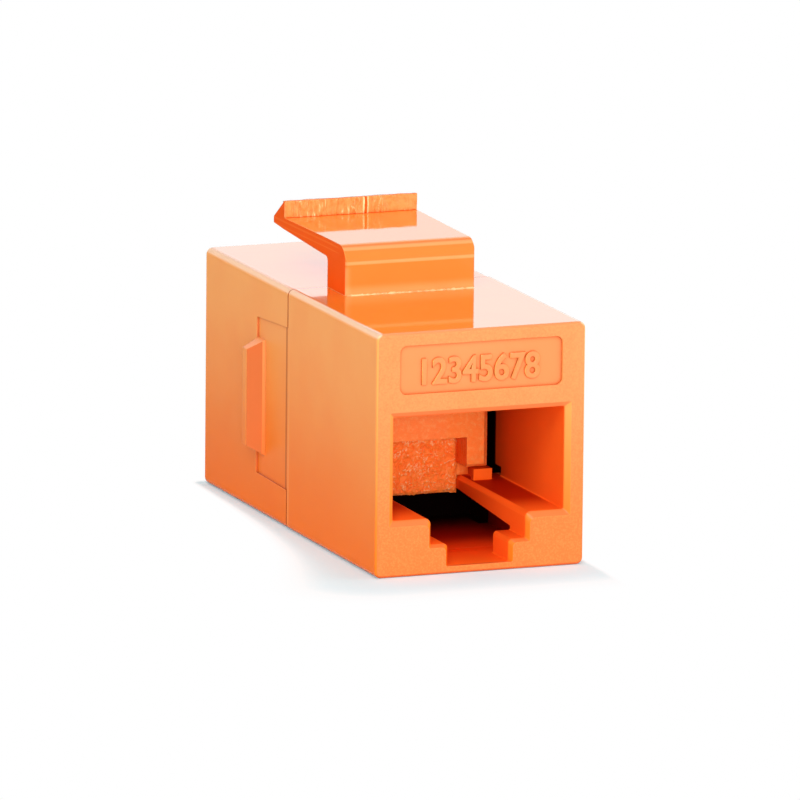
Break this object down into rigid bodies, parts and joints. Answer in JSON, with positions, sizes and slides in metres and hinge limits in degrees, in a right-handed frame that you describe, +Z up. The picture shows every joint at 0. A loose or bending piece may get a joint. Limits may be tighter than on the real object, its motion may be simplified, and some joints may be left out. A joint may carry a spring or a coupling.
{
  "type": "rj45 inline coupler",
  "caption": "Keystone-style inline coupler with an eight-contact plug port at each end, a flexing latch on top and side catches for a panel cut-out.",
  "frame": {"origin": "centre of the underside of the whole part", "axes": "+X across the body, +Y from the front port to the rear port, +Z up from the underside to the latch"},
  "size_m": [0.0164, 0.0318, 0.0205],
  "materials": {
    "shell_plastic": "moulded orange plastic, polished outside, finely grained port face",
    "carrier_plastic": "moulded orange plastic, fine grain, one rough wall",
    "board_laminate": "black coated circuit board",
    "contact_metal": "gold-plated spring wire"
  },
  "bodies": {
    "root": {"front_housing": "shell_plastic", "rear_housing": "shell_plastic", "front_contact_carrier": "carrier_plastic", "rear_contact_carrier": "carrier_plastic", "circuit_board": "board_laminate", "front_contact_1": "contact_metal", "front_contact_2": "contact_metal", "front_contact_3": "contact_metal", "front_contact_4": "contact_metal", "front_contact_5": "contact_metal", "front_contact_6": "contact_metal", "front_contact_7": "contact_metal", "front_contact_8": "contact_metal", "rear_contact_1": "contact_metal", "rear_contact_2": "contact_metal", "rear_contact_3": "contact_metal", "rear_contact_4": "contact_metal", "rear_contact_5": "contact_metal", "rear_contact_6": "contact_metal", "rear_contact_7": "contact_metal", "rear_contact_8": "contact_metal"}
  },
  "joints": []
}
